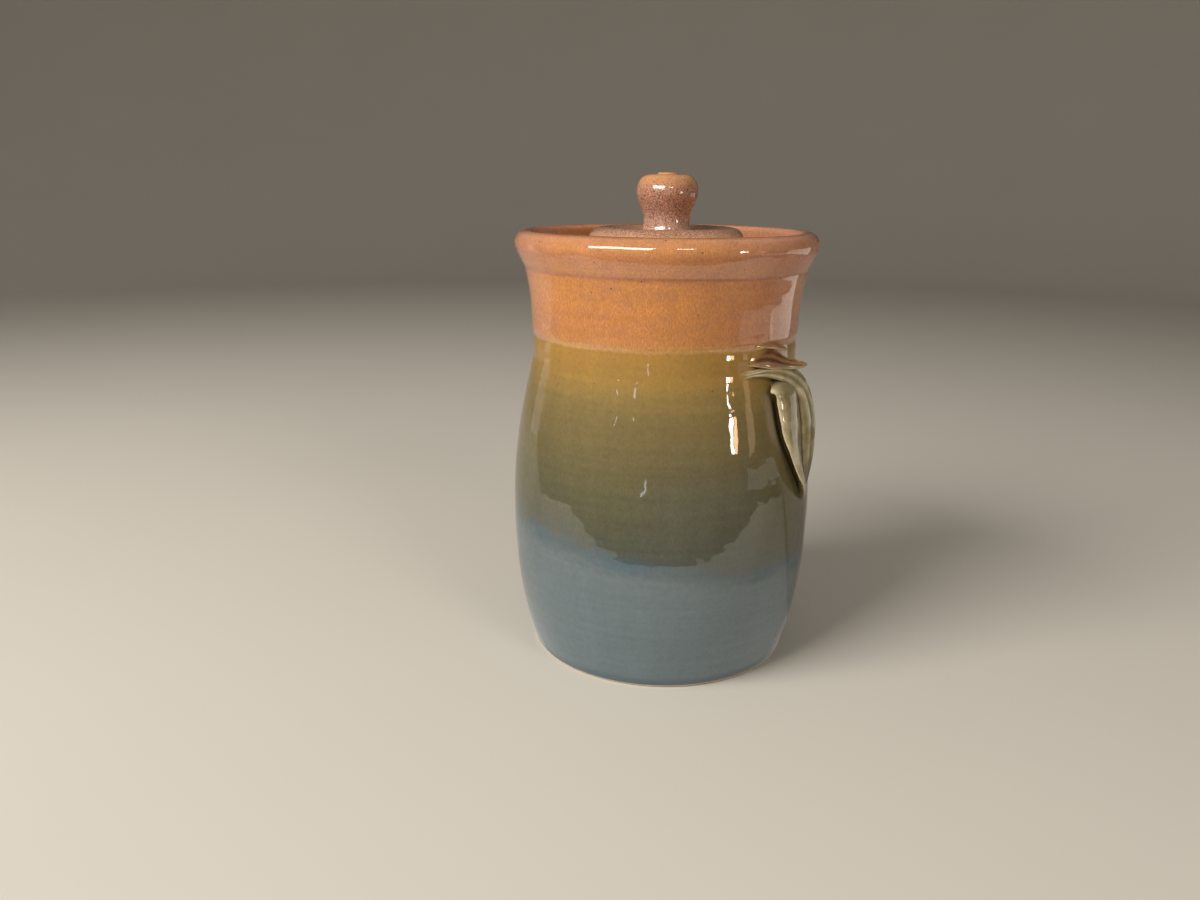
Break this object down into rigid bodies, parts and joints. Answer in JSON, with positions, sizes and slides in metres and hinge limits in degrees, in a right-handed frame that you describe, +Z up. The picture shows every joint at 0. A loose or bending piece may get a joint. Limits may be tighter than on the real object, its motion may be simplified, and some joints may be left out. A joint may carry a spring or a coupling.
{
  "type": "ceramic canister",
  "caption": "Glazed stoneware canister with a bellied body, flared rim, inset lid with a round knob, and leaf-like side handles. The lid lifts off a ledge inside the rim.",
  "frame": {"origin": "on the table, at the middle of the foot ring", "axes": "+Z up along the axis of the jar, handles along +X and -X"},
  "size_m": [0.1532, 0.1428, 0.2253],
  "materials": {
    "jar_glaze": "gloss glaze, amber collar over olive over slate blue",
    "lid_glaze": "gloss glaze, speckled mauve breaking to amber",
    "knob_glaze": "gloss glaze, speckled mauve brown with an amber top",
    "handle_glaze": "gloss glaze, olive breaking to cream"
  },
  "bodies": {
    "jar": {"jar_body": "jar_glaze", "right_leaf_strap": "handle_glaze", "right_outer_strand": "handle_glaze", "right_thumb_tab": "handle_glaze", "right_curl": "handle_glaze", "left_leaf_strap": "handle_glaze", "left_outer_strand": "handle_glaze", "left_thumb_tab": "handle_glaze", "left_curl": "handle_glaze"},
    "lid": {"lid_plate": "lid_glaze", "lid_knob": "knob_glaze"}
  },
  "joints": [
    {"name": "lid_lift", "type": "slide", "parent": "jar", "child": "lid", "axis": [0, 0, 1], "range_m": [0, 0.08]}
  ]
}
